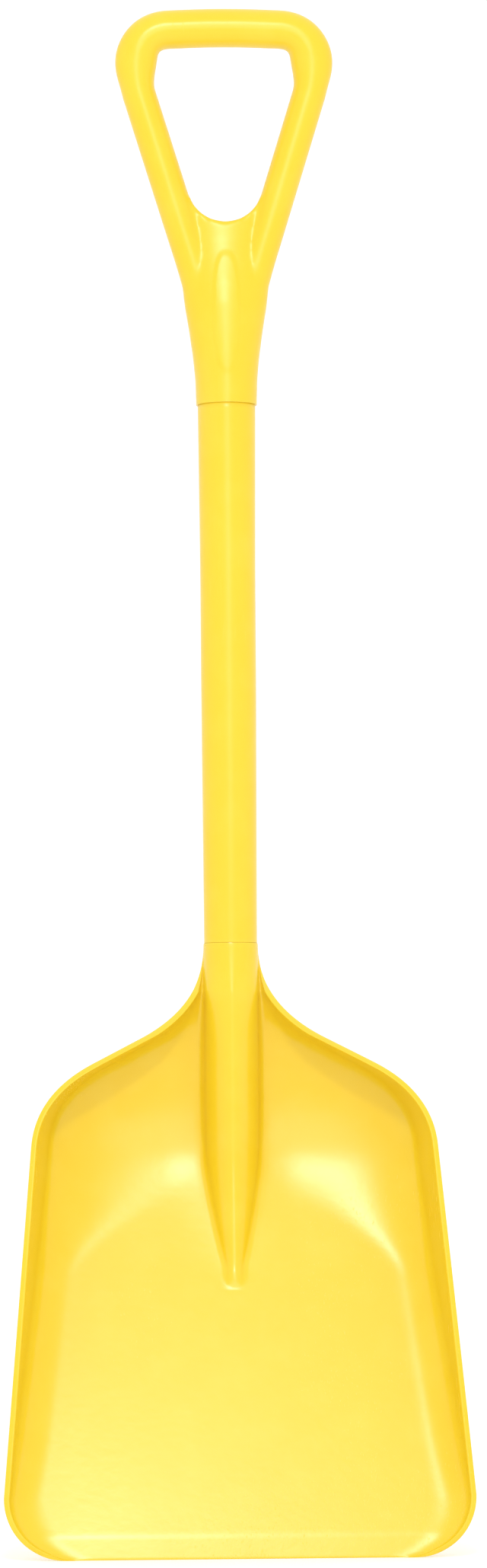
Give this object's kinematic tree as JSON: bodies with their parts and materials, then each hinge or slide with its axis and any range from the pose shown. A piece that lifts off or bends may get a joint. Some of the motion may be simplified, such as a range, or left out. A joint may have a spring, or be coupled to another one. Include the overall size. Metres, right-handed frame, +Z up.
{
  "type": "grain scoop shovel",
  "caption": "Long-handled scoop shovel: wide pan with raised sides and two bowls beside a socket ridge, sleeved round shaft and moulded D-grip.",
  "frame": {"origin": "middle of the object's box in X and Y, at the height of the blade's edge", "axes": "+Z up along the shaft from the blade's edge to the grip, -Y the way the pan's hollow side faces, +X to the right as seen from the hollow side"},
  "size_m": [0.3408, 0.148, 1.145],
  "materials": {
    "yellow_plastic": "satin moulded polypropylene",
    "glass_fibre": "pultruded tube",
    "plug_plastic": "moulded",
    "stainless_steel": "satin"
  },
  "bodies": {
    "root": {"blade": "yellow_plastic", "shaft_sleeve": "yellow_plastic", "shaft_core": "glass_fibre", "d_grip": "yellow_plastic", "core_plug_lower": "plug_plastic", "core_plug_upper": "plug_plastic", "blade_screw_lower": "stainless_steel", "blade_screw_upper": "stainless_steel", "grip_screw_lower": "stainless_steel", "grip_screw_upper": "stainless_steel"}
  },
  "joints": []
}
